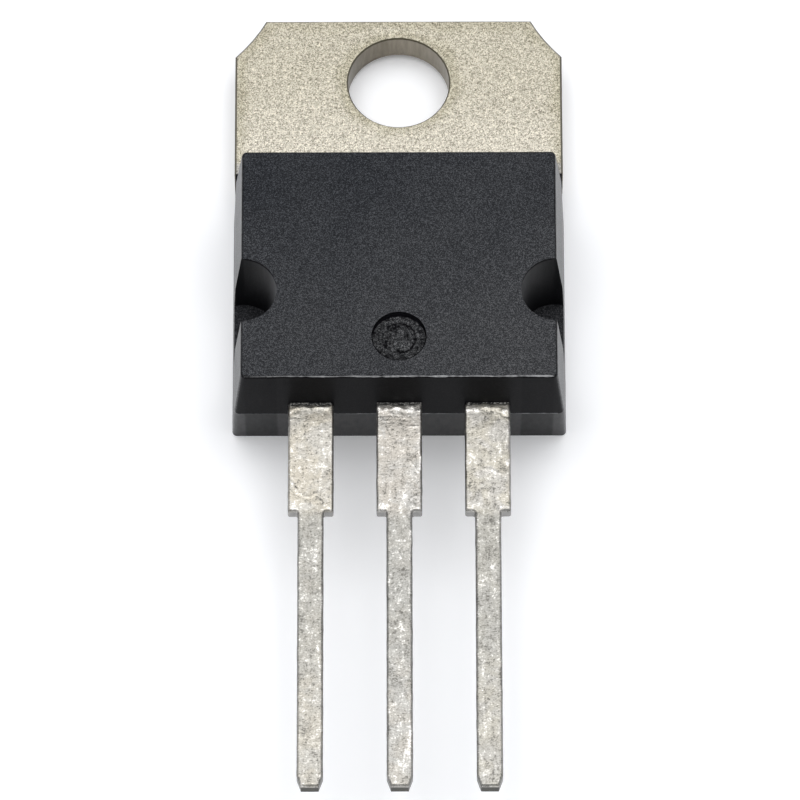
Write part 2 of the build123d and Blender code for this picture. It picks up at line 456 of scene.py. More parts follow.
def moulding_finish():
    """Sandy where the body faces up, and smooth and darker on its upright faces."""
    finish = Finish("moulding_compound")
    millimetres = finish.millimetres()
    place = finish.split(millimetres)
    facing = finish.facing()
    sandy = finish.step(facing.z, 0.85, 0.99)
    smooth = 1 - sandy
    side_wall = shiny_sides(finish, place, facing.x, smooth)
    notch_wall, notch_rim = notch_walls(finish, place, smooth)

    coarse, fine, flecks = silica(finish, millimetres)
    clouds = finish.noise(millimetres, 0.45, 3, 0.55)
    drawn = finish.noise(finish.stretch(millimetres, 7, 7, 0.9), 1, 2, 0.6)

    polish = finish.mix(clouds * 0.5 + flecks * 0.5, (0.0, 0.0, 0.001), (0.011, 0.011, 0.012))
    left_more = 0.35 + 0.65 * finish.step(place.x, 1, -1)
    # Painted highlight: a pale upright band on the notch walls, stronger on the left, kept off the
    # rim.
    painted_highlight = notch_wall * finish.step(abs(facing.y), 0.75, 0.15) * left_more
    polish = finish.mix(painted_highlight * (1 - notch_rim), polish, (0.085, 0.087, 0.093))
    polish = finish.mix(side_wall * flecks, polish, (0.090, 0.091, 0.097))
    sand = sand_colour(finish, place, clouds, flecks)
    colour = finish.mix(sandy * (1 - recess_painted_shade(finish, place)), polish, sand)

    roughness = 0.36 + 0.12 * (drawn - 0.5) + notch_wall * 0.12 + notch_rim * 0.5
    roughness = roughness + sandy * (0.22 + 0.14 * fine)
    height = (coarse * 0.6 + fine * 0.4) * (0.10 + 0.55 * side_wall + 0.90 * sandy)
    height = height + drawn * 0.3 * smooth
    return finish.surface(
        Base_Color=colour,
        Roughness=roughness,
        Normal=finish.bump(height, GRAIN_DEPTH),
        IOR=MOULDING_IOR,
        Coat_Weight=side_wall * (0.13 + 0.22 * drawn + 0.10 * flecks),
        Coat_Roughness=0.35,
        Coat_IOR=SHINE_IOR,
    )


dress("moulded_body", moulding_finish())

# %% [markdown]
# ## Nickel on the tab
#
# The tab is copper strip under matt nickel. Up close the plating is a field of tiny crystals, each
# of which catches the light or doesn't, so the surface looks like fine sand. Near the punched
# edges the plating is thinner and stained olive. The stain could be painted on an image, but the
# distance from a point to the nearest edge is a formula on the point's own coordinates, written
# with the operators above, and a formula stays sharp however near one looks. A grey film of resin
# bled out at the foot of the moulding and beside its two ears.

# %% Faces of the tab
HOLE_RADIUS = 1.55
CORNER_CUT = 0.78
EAR_FILM_END = -2.83
EAR_FILM_INNER_X = 4.6
MOULDING_FOOT = -4.12


def edge_distance(x, y):
    """How far a point of the tab is from its side, its end, its cut corner or its hole."""
    from_side = frame_high.x - abs(x)
    from_end = frame_high.y - y
    from_hole = abs((x * x + y * y) ** 0.5 - HOLE_RADIUS)
    from_corner = (from_side + from_end) * 0.7 - CORNER_CUT
    return from_side.least(from_end).least(from_hole).least(from_corner)


def nickel_faces(finish, place, sand, stains):
    """Plated faces stained near the edges, painted shade towards the far end, resin by the moulding.
    """
    x, y, z = place
    clean = finish.mix(sand, (0.189, 0.173, 0.137), (0.846, 0.803, 0.707))
    tarnish_and_shade = finish.mix(sand, (0.124, 0.112, 0.075), (0.649, 0.611, 0.495))
    near_edge = finish.step(edge_distance(x, y) + (stains - 0.5) * 0.9, 0.55, -0.15)
    # Painted shade: the plating darkens towards the far end of the tab.
    far_end_painted_shade = finish.step(y, -3.2, 0.8) * 0.55
    faces = finish.mix(near_edge + far_end_painted_shade, clean, tarnish_and_shade)

    by_ears = finish.step(y, EAR_FILM_END + 0.06, EAR_FILM_END - 0.06)
    by_ears = by_ears * finish.step(abs(x), EAR_FILM_INNER_X - 0.1, EAR_FILM_INNER_X + 0.1)
    bleed = finish.step(y + (stains - 0.5) * 0.5, MOULDING_FOOT + 0.26, MOULDING_FOOT + 0.10)
    resin = by_ears.most(bleed) * finish.step(z, 0.9, 1.1)
    film = finish.mix(sand, (0.10, 0.10, 0.10), (0.42, 0.41, 0.40))
    return finish.mix(resin * 0.8, faces, film)


print(f"the tab's screw hole is {2 * HOLE_RADIUS} mm wide")

# %% [markdown]
# The walls that the punch left are smoother than the faces. Their upper part is burnished, with
# upright streaks, and the lower part, where the metal tore, is darker. They could be left as plain
# as the faces, but the wall of the hole is seen from above and would look cast. The noise for the
# streaks is the same as any other, only stretched along Z.

# %% Walls of the tab
BURNISHED_ABOVE = 0.44


def punched_walls(finish, millimetres, place, crystals, stains, broken_edge):
    """Streaked walls over torn metal, with painted shade on the left, and the dark of broken edges.
    """
    streaks = finish.noise(finish.stretch(millimetres, 9, 9, 1.2), 1, 2, 0.6)
    # Painted shade: the walls on the left side of the hole are darker.
    hole_left_painted_shade = finish.step(place.x, 0.4, -1.3) * finish.step(abs(place.x), 2.5, 2.0)
    burnished = finish.mix(streaks - hole_left_painted_shade * 0.45, (0.15, 0.130, 0.095), (0.31, 0.280, 0.225))
    torn = finish.mix(crystals - hole_left_painted_shade * 0.4, (0.10, 0.085, 0.06), (0.34, 0.30, 0.24))
    ragged = place.z + (stains - 0.5) * 0.3
    tear = finish.step(ragged, BURNISHED_ABOVE + 0.04, BURNISHED_ABOVE - 0.04)
    return finish.mix(broken_edge, finish.mix(tear, burnished, torn), (0.085, 0.075, 0.05))


print(f"the walls are burnished above {BURNISHED_ABOVE} mm")

# %% [markdown]
# One material dresses the whole frame, since it is one piece of metal. It goes from faces to walls
# by the direction of the surface, and on the centre lead it turns to the dark stain that flux and
# heat leave. The rims of the punched edges are darker and less metallic.

# %% Finish of the frame
LEAD_ZONE = -11.5
STAIN = (0.035, 0.035, 0.036)
CLEAN_LEAD = (0.36, 0.355, 0.34)


def flux_stain(finish, mottle):
    """Lead metal that flux and heat have left dark between its clean grains."""
    return finish.mix(finish.step(mottle, 0.45, 0.66), STAIN, CLEAN_LEAD)


def nickel_finish():
    """Plated faces and punched walls, and a dark stain on the centre lead."""
    finish = Finish("matt_nickel")
    millimetres = finish.millimetres()
    place = finish.split(millimetres)
    facing_up = finish.facing().z
    flat = finish.step(abs(facing_up), 0.80, 0.97)
    broken_edge = finish.step(facing_up, 0.25, 0.5) * finish.step(facing_up, 0.97, 0.85)

    crystals = finish.noise(millimetres, 14, 2, 0.55, 1.2)
    sparkle = finish.noise(millimetres, 27, 1, 0.5, 0.8)
    stains = finish.noise(millimetres, 0.9, 3, 0.6)
    sand = finish.step(crystals * 0.5 + sparkle * 0.5, 0.32, 0.68)

    faces = nickel_faces(finish, place, sand, stains)
    walls = punched_walls(finish, millimetres, place, crystals, stains, broken_edge)
    on_lead = finish.step(place.y, LEAD_ZONE, LEAD_ZONE - 0.05)
    colour = finish.mix(on_lead, finish.mix(flat, walls, faces), flux_stain(finish, crystals))

    bumps = finish.bump((crystals * 0.6 + sparkle * 0.4) * (0.2 + 0.8 * flat), 0.012)
    return finish.surface(
        Base_Color=colour,
        Metallic=1 - 0.85 * broken_edge,
        Roughness=0.36 + flat * (0.08 + 0.1 * sand),
        Normal=bumps,
    )


dress("collector_frame", nickel_finish())

# %% [markdown]
# ## Bare lead metal
#
# Between the moulding and the solder a narrow band of each lead stays bare. Flux and heat have
# left it dark and mottled. The centre lead is one piece with the tab, so the tab's finish turns to
# this stain on it. The outer two could share that finish, but most of it would be wasted on them.
# They get a short one of their own with the same stain.

# %% Finish of the bare leads


def bare_lead_finish():
    """The same dark stain all over."""
    finish = Finish("stained_lead")
    place = finish.millimetres()
    mottle = finish.noise(place, 8.5, 2, 0.55, 1.3)
    return finish.surface(
        Base_Color=flux_stain(finish, mottle),
        Metallic=1.0,
        Roughness=0.42,
        Normal=finish.bump(mottle, 0.012),
    )


bare_lead = bare_lead_finish()
for lead_name in ("base_lead", "emitter_lead"):
    dress(lead_name, bare_lead)

# %% [markdown]
# ## Inside the moulding
#
# The chip, its solder and the bond wires can't be seen from outside. They could keep their plain
# colours, but a cut or an exploded view should show the real thing. One short helper gives each a
# finish with a little life in it: two shades of one colour, slightly uneven.

# %% Finishes of the hidden pieces


def quiet_finish(name, dark, light, per_mm, depth_mm, **surface):
    """A simple finish: two shades of one colour, mixed and raised by the same noise."""
    finish = Finish(name)
    mottle = finish.noise(finish.millimetres(), per_mm, 2, 0.5)
    colour = finish.mix(finish.step(mottle, 0.35, 0.65), dark, light)
    return finish.surface(Base_Color=colour, Normal=finish.bump(mottle, depth_mm), **surface)


silicon = quiet_finish(
    "polished_silicon", (0.17, 0.18, 0.21), (0.27, 0.28, 0.31), 3, 0.001, Metallic=0.6, Roughness=0.18
)
soft_solder = quiet_finish(
    "die_solder", (0.38, 0.38, 0.39), (0.60, 0.60, 0.61), 8, 0.008, Metallic=1.0, Roughness=0.45
)
drawn_wire = quiet_finish(
    "drawn_aluminium", (0.70, 0.70, 0.71), (0.86, 0.86, 0.87), 12, 0.003, Metallic=1.0, Roughness=0.25
)
dress("silicon_die", silicon)
dress("die_solder", soft_solder)
for wire_name in ("base_bond_wire", "emitter_bond_wire_inner", "emitter_bond_wire_outer"):
    dress(wire_name, drawn_wire)

# %% [markdown]
# ## Lumps, and a number painted on a mesh
#
# The rest of the work is on meshes whose points are pushed about one by one. They could be
# sculpted with brushes, but a formula gives the same shape on every run. Smooth noise makes the
# lumps. Wherever a point is pushed, the script can also write down a shade for it, such as a
# painted shade in a pit or a painted highlight on a ridge, and the finish reads that number back.
# So form and colour always agree.

# %% Tools for shaped meshes


def lumps(point, per_mm, seed):
    """Smooth noise about 0, with about so many lumps to the millimetre."""
    return noise.noise(point * per_mm + Vector((seed, 2 * seed, 3 * seed)))


def piece_from(name, vertices, faces, shades, material):
    """A smooth piece from points in millimetres, with a shade at each point, riding on the part."""
    mesh = bpy.data.meshes.new(name)
    mesh.from_pydata([point * MM for point in vertices], [], faces)
    mesh.shade_smooth()
    mesh.attributes.new("shade", "FLOAT", "POINT").data.foreach_set("value", shades)
    mesh.materials.append(material)
    piece = add_object(name, mesh)
    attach(piece, "root")
    print(f"{name}: {len(mesh.polygons)} faces")


sampled = [lumps(Vector((step / 10, 0, 0)), 1, 0) for step in range(500)]
print(f"lumps run from {min(sampled):.2f} to {max(sampled):.2f}")

# %% [markdown]
# ## Flash
#
# Where the mould's inserts meet, a little compound creeps into the joint and is left as a thin
# ragged line. One such line stands on the upper edge over the leads, where the sandy top insert
# ends, and its broken crest is paler than the rest. A much finer one marks the parting level. The
# paleness of both crests is a painted highlight. They could be bump in the body's finish, but bump
# can't change an outline. So each is a real thread: a row of small rings, joined into a rod, with
# its course and its thickness varied by noise.

# %% A rod of rings
FLASH_SIDES = 8


def rod(stations):
    """Points and faces of a rod along X, from (centre, half depth, half height) stations."""
    vertices = []
    faces = []
    for centre, half_depth, half_height in stations:
        for side in range(FLASH_SIDES):
            angle = 2 * math.pi * side / FLASH_SIDES
            offset = Vector((0, half_depth * math.cos(angle), half_height * math.sin(angle)))
            vertices.append(centre + offset)
    for first in range(0, len(vertices) - FLASH_SIDES, FLASH_SIDES):
        second = first + FLASH_SIDES
        for side in range(FLASH_SIDES):
            after = (side + 1) % FLASH_SIDES
            faces.append((first + side, first + after, second + after, second + side))
    faces.append(tuple(reversed(range(FLASH_SIDES))))
    faces.append(tuple(range(len(vertices) - FLASH_SIDES, len(vertices))))
    return vertices, faces


print(f"rods with {FLASH_SIDES} sides")

# %% Lines of flash
FLASH_STEP = 0.03
FRONT_DRAFT = 0.26


def flash_finish():
    """Dark compound, paler where the mesh's shade paints a highlight on the crest."""
    finish = Finish("flash")
    place = finish.millimetres()
    crumbs = finish.noise(place, 9, 2, 0.6)
    painted_highlight = finish.painted("shade")
    tone = painted_highlight * 0.75 + (crumbs - 0.5) * 0.8
    colour = finish.mix(tone, (0.012, 0.012, 0.013), (0.42, 0.425, 0.44))
    bumps = finish.bump(crumbs, 0.01)
    return finish.surface(Base_Color=colour, Roughness=0.55, Normal=bumps, IOR=MOULDING_IOR)


def flash_line(name, y, z, half_length, thickness, wave, seed, material):
    """A ragged thread of compound along X. It is thinner, and its painted highlight dimmer, towards
    -X.
    """
    steps = int(2 * half_length / FLASH_STEP)
    stations = []
    shades = []
    for step in range(steps + 1):
        x = -half_length + 2 * half_length * step / steps
        along = Vector((x, 0, 0))
        body = 0.45 + 0.55 * min(1, max(0, (x + half_length) / half_length * 0.8))
        ragged = 0.75 + 0.5 * lumps(along, 2.5, seed) + 0.5 * lumps(along, 8, seed)
        half = thickness * body * max(0.25, ragged)
        if step in (0, steps):
            half *= 0.2
        sway = wave * (lumps(along, 0.9, seed + 3) + 0.5 * lumps(along, 3, seed + 5))
        stations.append((Vector((x, y + sway, z)), half, half * 0.9))
        # The shade is a painted highlight along the crest, dimmer towards -X.
        glint = 0.75 + 0.5 * lumps(along, 3.5, seed + 7) + 0.5 * lumps(along, 9, seed + 9)
        shades += [min(1, max(0, body * glint))] * FLASH_SIDES
    vertices, faces = rod(stations)
    piece_from(name, vertices, faces, shades, material)


flash = flash_finish()
top_front_y = body_low.y + FRONT_DRAFT
flash_line(
    "top_edge_flash",
    y=top_front_y + 0.02,
    z=body_high.z - 0.020,
    half_length=4.62,
    thickness=0.033,
    wave=0.018,
    seed=5.2,
    material=flash,
)
flash_line(
    "parting_line_flash",
    y=body_low.y + 0.002,
    z=PARTING_HEIGHT,
    half_length=4.75,
    thickness=0.011,
    wave=0.002,
    seed=8.6,
    material=flash,
)

# %% [markdown]
# ## The ejector mark
#
# A pin pushes the part out of the mould, and leaves a shallow round pocket in the upper face. Its
# floor copies the end of the pin: turned rings, worn away on one side, and a lump where a chip of
# compound stuck. The pocket itself is in the CAD body. Its floor could be bump too, but the lump is
# high enough to shade what lies round it. So a disc lies there, made of rings of points like a
# spider's web, with one formula for each point's height and shade. Towards the tab it climbs into
# the corner under the wall, and all round it is almost black there, as a corner holds no light.

# %% Floor of the ejector mark
MARK_CENTRE = Vector((0, -10.54, 4.30))
MARK_RADIUS = 0.825
MARK_IOR = 1.1
MARK_RINGS = 56
MARK_SPOKES = 200
RIDGE_RADIUS = 0.57
RIDGE_WIDTH = 0.040
GROOVE_RADIUS = 0.50
GROOVE_WIDTH = 0.028
CHIP_CENTRE = Vector((0.10, -0.20, 0))
CHIP_HALF_WIDTH = 0.20
CHIP_HALF_LENGTH = 0.25
CORNER_CLIMB = 0.10


def mark_height(across, along):
    """Height in millimetres over the pocket's floor, and the shade, at a point of the disc."""
    spot = Vector((across, along, 0))
    reach = spot.length
    crumbs = lumps(spot, 14, 2.0)
    worn = min(1, max(0.05, 0.45 + 0.9 * along + 0.6 * across + 0.8 * lumps(spot, 1.6, 4.0)))
    groove = worn * math.exp(-(((reach - GROOVE_RADIUS) / GROOVE_WIDTH) ** 2))
    ridge = worn * math.exp(-(((reach - RIDGE_RADIUS) / RIDGE_WIDTH) ** 2))
    from_chip = spot - CHIP_CENTRE
    edge = math.hypot(from_chip.x / CHIP_HALF_WIDTH, from_chip.y / CHIP_HALF_LENGTH)
    edge += 0.8 * lumps(spot, 3.4, 7.7) + 0.25 * lumps(spot, 9, 3.1)
    chip = 1 / (1 + math.exp((edge - 1) * 12))
    turned_away = min(1, max(0.15, 0.5 + 1.6 * (from_chip.x - from_chip.y)))
    chip_foot = turned_away * math.exp(-(((edge - 1.25) / 0.14) ** 2))
    height = 0.012 + 0.014 * ridge - 0.010 * groove + 0.045 * chip + 0.006 * crumbs
    # Painted shade in the groove, and a painted shadow at the chip's foot on the side turned away.
    # The ridge and the chip are paler.
    shade = 0.42 + 0.35 * ridge - 0.45 * groove + 0.40 * chip * (0.6 + 2.5 * abs(crumbs))
    shade += 0.5 * lumps(spot, 4, 1.0) + 0.6 * crumbs - 0.5 * chip_foot
    return height, shade


def at_wall(across, along):
    """How far a point is in the corner under the wall, which is narrow at the left and right."""
    reach = math.hypot(across, along)
    if along > 0:
        start = MARK_RADIUS - 0.020 - 0.085 * along / reach
    else:
        start = MARK_RADIUS - 0.035 + 0.10 * along
    return min(1, max(0, (reach - start) / (MARK_RADIUS - start)))


def ejector_mark(material):
    """The disc, as rings of points round its middle."""
    vertices = [MARK_CENTRE + Vector((0, 0, mark_height(0, 0)[0]))]
    shades = [mark_height(0, 0)[1]]
    faces = []
    for ring in range(1, MARK_RINGS + 1):
        reach = MARK_RADIUS * ring / MARK_RINGS
        for spoke in range(MARK_SPOKES):
            angle = 2 * math.pi * spoke / MARK_SPOKES
            across = reach * math.cos(angle)
            along = reach * math.sin(angle)
            height, shade = mark_height(across, along)
            corner = at_wall(across, along)
            height += CORNER_CLIMB * corner * max(0, math.sin(angle)) - 0.02 * corner ** 4
            vertices.append(MARK_CENTRE + Vector((across, along, height)))
            shades.append(shade - 1.5 * min(1, 2 * corner))
    for spoke in range(MARK_SPOKES):
        faces.append((0, 1 + spoke, 1 + (spoke + 1) % MARK_SPOKES))
    for ring in range(MARK_RINGS - 1):
        inner = 1 + ring * MARK_SPOKES
        outer = inner + MARK_SPOKES
        for spoke in range(MARK_SPOKES):
            after = (spoke + 1) % MARK_SPOKES
            faces.append((inner + spoke, outer + spoke, outer + after, inner + after))
    piece_from("ejector_mark_floor", vertices, faces, shades, material)


print(f"the disc has {MARK_RINGS} rings of {MARK_SPOKES} points")

# %% [markdown]
# The disc has the same grains as the rest of the moulding. It could share the body's finish, but
# that can't tell a hollow from a ridge. So the shade that its points carry picks between a black,
# which is painted shade in the hollows and the corner, and the pale, flecked compound of the ridges.

# %% Finish of the ejector mark


def mark_finish():
    """Grains like those of the body, from black to pale by the shade of each point."""
    finish = Finish("ejector_mark")
    place = finish.millimetres()
    coarse, fine, flecks = silica(finish, place)
    shade = finish.painted("shade")
    colour = finish.mix(
        shade,
        finish.mix(flecks, (0.0005, 0.0005, 0.001), (0.006, 0.006, 0.008)),
        finish.mix(flecks, (0.020, 0.021, 0.023), (0.205, 0.209, 0.218)),
    )
    bumps = finish.bump(coarse * 0.6 + fine * 0.4, GRAIN_DEPTH)
    return finish.surface(Base_Color=colour, Roughness=0.6, Normal=bumps, IOR=MARK_IOR)


ejector_mark(mark_finish())

# %% [markdown]
# ## The solder skin
#
# The leads were dipped in solder up to a line just short of the moulding. The skin is uneven: it
# is thick along the dip line, rounds the corners, and carries lumps, pits and wrinkles. It could be
# sculpted by hand, but then it would fit one lead of one size. Here each skin starts as a copy of
# its lead, cut at the dip line. A voxel remesh turns that into even little quads, which can then be
# pushed about point by point: outwards by the skin's thickness, and in and out by noise and by the
# marks that handling left. It never gets thinner than a set least, or the lead would show through.

# %% Points for the skin
LEAD_EXIT_SETBACK = 0.077
BARE_BAND = 0.07
SKIN_VOXEL = 0.026

lead_exit_y = body_low.y + LEAD_EXIT_SETBACK
dip_y = lead_exit_y - BARE_BAND


def cut_copy(source):
    """A bmesh in millimetres of the part of a node that lies below the dip line, closed."""
    piece = bmesh.new()
    piece.from_mesh(source.data)
    bmesh.ops.scale(piece, vec=(1 / MM, 1 / MM, 1 / MM), verts=piece.verts)
    bmesh.ops.remove_doubles(piece, verts=piece.verts, dist=1e-4)
    everything = piece.verts[:] + piece.edges[:] + piece.faces[:]
    bmesh.ops.bisect_plane(
        piece, geom=everything, plane_co=(0, dip_y, 0), plane_no=(0, 1, 0), clear_outer=True
    )
    rim = [edge for edge in piece.edges if edge.is_boundary]
    bmesh.ops.holes_fill(piece, edges=rim, sides=0)
    return piece


def voxel_remesh(piece):
    """The same closed shape as an even net of small quads."""
    mesh = bpy.data.meshes.new("net")
    piece.to_mesh(mesh)
    piece.free()
    carrier = add_object("net", mesh)
    remesh = carrier.modifiers.new("net", "REMESH")
    remesh.mode = "VOXEL"
    remesh.voxel_size = SKIN_VOXEL
    bpy.context.view_layer.update()
    evaluated = carrier.evaluated_get(bpy.context.evaluated_depsgraph_get())
    net = bpy.data.meshes.new_from_object(evaluated)
    bpy.data.objects.remove(carrier)
    bpy.data.meshes.remove(mesh)
    return net


print(f"the leads come out at y {lead_exit_y:.2f} mm, and the solder starts at {dip_y:.2f}")

# %% [markdown]
# ## Marks on the leads
#
# A mark is a short path with a width: a single point is a pit or a blob, and a few points make a
# ridge or a scratch. It raises the skin or sinks it, and it paints a highlight on a raised mark and
# shade into a sunk one. Marks could be scattered at random, but handling leaves them in certain
# places, so each one is listed. Its places are counted from the lead's own centre line, and from
# the front of the moulding towards the tip.

# %% Marks
MARK_REACH = 2.5


def distance_to_path(spot, path):
    """How far a spot lies from the nearest stretch of a path."""
    if len(path) == 1:
        return (spot - path[0]).length
    nearest = math.inf
    for start, end in zip(path, path[1:]):
        run = end - start
        share = min(1, max(0, (spot - start).dot(run) / run.length_squared))
        nearest = min(nearest, (spot - start - share * run).length)
    return nearest


def ready(marks):
    """The marks with their paths as vectors, and the stretch of the lead that each can touch."""
    prepared = []
    for width, raised, tone, *points in marks:
        path = [Vector(point) for point in points]
        first = min(point.y for point in path) - MARK_REACH * width
        last = max(point.y for point in path) + MARK_REACH * width
        prepared.append((width, raised, tone, path, first, last))
    return prepared


def marked(spot, marks, ragged):
    """The height and the tone that all the marks give to a spot of the lead's upper face."""
    height = 0
    tone = 0
    for width, raised, shade, path, first, last in marks:
        if first < spot.y < last:
            share = math.exp(-((distance_to_path(spot, path) * ragged / width) ** 2))
            height += raised * share
            # The tone is painted light: a highlight on raised marks, shade in sunk ones.
            tone += shade * share
    return height, tone


print(f"a mark is felt up to {MARK_REACH} widths away")

# %% Marks on the base lead
# Each row: width, height, tone, then the points of its path, all in millimetres but the tone.
# The tone is painted light: above 0 a highlight, below 0 shade.
base_marks = [
    (0.09, 0.01, 1.0, (-0.56, 0.24)),
    (0.05, 0.006, 0.7, (0.17, 0.17), (0.5, 0.19)),
    (0.03, -0.002, -0.4, (-0.58, 0.5), (-0.2, 0.52)),
    (0.03, 0.003, 0.4, (0.14, 0.95), (0.53, 0.93)),
    (0.05, 0.006, 0.9, (0.18, 2.09), (0.48, 2.13)),
    (0.03, 0.009, 0.4, (-0.37, 3.05), (-0.16, 3.16), (0.0, 3.17), (0.15, 3.06)),
    (0.03, -0.005, -0.4, (-0.33, 3.13), (-0.14, 3.24), (0.02, 3.24), (0.17, 3.13)),
    (0.03, 0.008, 0.7, (-0.6, 2.62), (-0.37, 3.02)),
    (0.04, -0.006, -0.5, (-0.53, 2.6), (-0.42, 2.84)),
    (0.15, 0.002, 0.8, (-0.52, 3.48), (-0.3, 3.45)),
    (0.1, 0.002, 0.8, (0.56, 3.52), (0.46, 3.52)),
    (0.03, -0.006, -0.8, (-0.46, 0.64)),
    (0.03, -0.006, -0.8, (-0.46, 0.91)),
    (0.07, -0.003, -0.3, (-0.37, 2.3)),
    (0.05, -0.006, -0.6, (0.4, 3.3), (0.3, 3.42)),
    (0.03, 0.005, 0.6, (0.17, 4.41), (0.15, 6.24)),
    (0.14, -0.003, -0.4, (-0.08, 4.72)),
    (0.02, 0.004, 0.8, (-0.16, 5.1), (0.0, 5.06), (-0.1, 5.24), (0.03, 5.22)),
    (0.05, 0.006, 1.0, (-0.06, 7.08)),
    (0.04, 0.006, 1.0, (0.22, 8.1), (0.24, 8.2)),
    (0.04, 0.006, 1.0, (0.24, 8.52), (0.28, 8.78)),
    (0.16, -0.004, -0.4, (-0.1, 8.9), (0.1, 8.85)),
    (0.1, -0.004, -0.4, (-0.17, 11.2)),
    (0.12, -0.004, -0.5, (0.03, 12.2), (0.0, 12.45)),
    (0.08, 0.004, 0.8, (-0.22, 12.62)),
]
print(len(base_marks), "marks on the base lead")

# %% Marks on the collector lead
collector_marks = [
    (0.11, 0.01, 1.2, (-0.58, 0.28), (-0.38, 0.27)),
    (0.06, 0.01, 1.2, (0.1, 0.25), (0.62, 0.28)),
    (0.02, -0.006, -0.6, (-0.6, 0.47), (-0.3, 0.44), (0.1, 0.48)),
    (0.02, -0.006, -0.5, (-0.55, 0.58), (-0.2, 0.55), (0.2, 0.6)),
    (0.02, -0.006, -0.4, (-0.5, 0.69), (-0.1, 0.66)),
    (0.03, 0.008, 0.8, (0.3, 0.82), (0.64, 0.8)),
    (0.13, -0.008, -0.5, (0.4, 1.82), (0.47, 1.96)),
    (0.04, 0.01, 1.2, (0.64, 1.8), (0.63, 2.22)),
    (0.03, 0.008, 0.8, (0.33, 1.98), (0.58, 2.36)),
    (0.16, 0.014, 0.3, (0.17, 2.9), (0.19, 2.98)),
    (0.1, -0.008, -0.5, (-0.16, 2.84), (-0.22, 3.3)),
    (0.15, -0.004, -0.5, (-0.45, 2.85)),
    (0.07, 0.008, 0.7, (0.12, 3.15), (0.0, 3.6)),
    (0.03, 0.012, 0.6, (0.36, 3.25), (0.5, 3.12), (0.56, 3.3)),
    (0.13, 0.002, 0.9, (-0.58, 3.52), (-0.34, 3.44)),
    (0.08, 0.002, 0.8, (0.44, 3.56), (0.6, 3.52)),
    (0.14, 0.006, 0.6, (0.03, 4.68)),
    (0.03, 0.006, 0.9, (-0.06, 4.95), (0.12, 5.36)),
    (0.03, 0.008, 1.0, (0.34, 4.3), (0.35, 4.7)),
    (0.1, -0.006, -0.6, (0.2, 5.56)),
    (0.12, -0.006, -0.6, (0.04, 6.15)),
    (0.07, -0.01, -1.0, (0.06, 6.98)),
    (0.08, -0.01, -1.0, (-0.16, 7.3)),
    (0.06, 0.008, 0.9, (0.02, 7.28), (0.08, 7.5)),
    (0.03, 0.006, 0.8, (0.1, 8.07), (0.11, 8.65)),
    (0.12, -0.006, -0.6, (-0.12, 9.15), (-0.06, 9.3)),
    (0.05, 0.006, 1.0, (-0.13, 9.97)),
    (0.08, 0.004, 1.0, (0.3, 10.5), (0.28, 11.7)),
    (0.16, 0.004, 0.8, (0.06, 11.95)),
    (0.08, -0.004, -0.5, (0.04, 12.38)),
]
print(len(collector_marks), "marks on the collector lead")

# %% Marks on the emitter lead
emitter_marks = [
    (0.07, 0.01, 1.2, (-0.62, 0.24), (-0.3, 0.27)),
    (0.08, 0.01, 1.2, (0.42, 0.3), (0.62, 0.29)),
    (0.1, -0.01, -0.9, (0.02, 0.36), (-0.03, 0.66)),
    (0.06, -0.014, -1.2, (0.33, 0.54)),
    (0.03, -0.006, -0.5, (0.45, 0.46), (0.64, 0.5)),
    (0.14, -0.014, -0.9, (0.36, 2.04), (0.44, 2.2)),
    (0.05, 0.014, 1.3, (0.55, 1.98), (0.6, 2.08)),
    (0.04, 0.004, 0.6, (-0.41, 1.75), (-0.35, 2.15), (0.04, 2.27), (0.56, 2.46)),
    (0.05, -0.002, -0.2, (-0.3, 2.08), (0.04, 2.18), (0.3, 2.28)),
    (0.14, -0.012, -0.8, (-0.42, 2.9), (-0.3, 2.98)),
    (0.08, -0.01, -0.9, (-0.08, 3.28), (-0.05, 3.42)),
    (0.05, -0.01, -1.1, (0.25, 3.4), (0.31, 3.52)),
    (0.05, 0.01, 0.8, (0.33, 3.38), (0.37, 3.5)),
    (0.12, -0.004, -0.4, (0.05, 2.85), (0.35, 2.95)),
    (0.13, 0.002, 0.9, (-0.58, 3.5), (-0.32, 3.42)),
    (0.08, 0.002, 0.8, (0.6, 3.54)),
    (0.1, 0.004, 0.6, (-0.3, 3.9), (-0.1, 3.8)),
    (0.12, -0.008, -0.9, (0.04, 4.75), (0.06, 4.95)),
    (0.09, -0.008, -0.9, (0.0, 5.22)),
    (0.06, 0.006, 0.9, (0.1, 5.5)),
    (0.03, -0.014, -1.4, (0.1, 6.95)),
    (0.14, -0.004, -0.5, (-0.03, 8.05)),
    (0.03, 0.01, 1.3, (-0.03, 9.08)),
    (0.16, -0.004, -0.5, (-0.1, 9.5), (-0.05, 9.75)),
    (0.1, 0.004, 0.9, (-0.06, 12.16)),
    (0.07, 0.004, 0.9, (-0.27, 12.7)),
]
print(len(emitter_marks), "marks on the emitter lead")

# %% [markdown]
# ## Thickness of the skin
#
# The skin is built up from the lead outwards: its own thickness, a slow swell, grit, the thick
# rim under the dip line, and the marks. Marks count on the upper face only. The edges wander in
# and out a little, because solder drew back from the sharp corners. A displace modifier could push
# the points too, but it wouldn't write down their shades.

# %% Thickness of the skin
SKIN_THICKNESS = 0.010
LEAST_SKIN = 0.004
RIM_DROP = 0.10
RIM_WIDTH = 0.07
RIM_HEIGHT = 0.018
DIP_FRINGE = 0.15


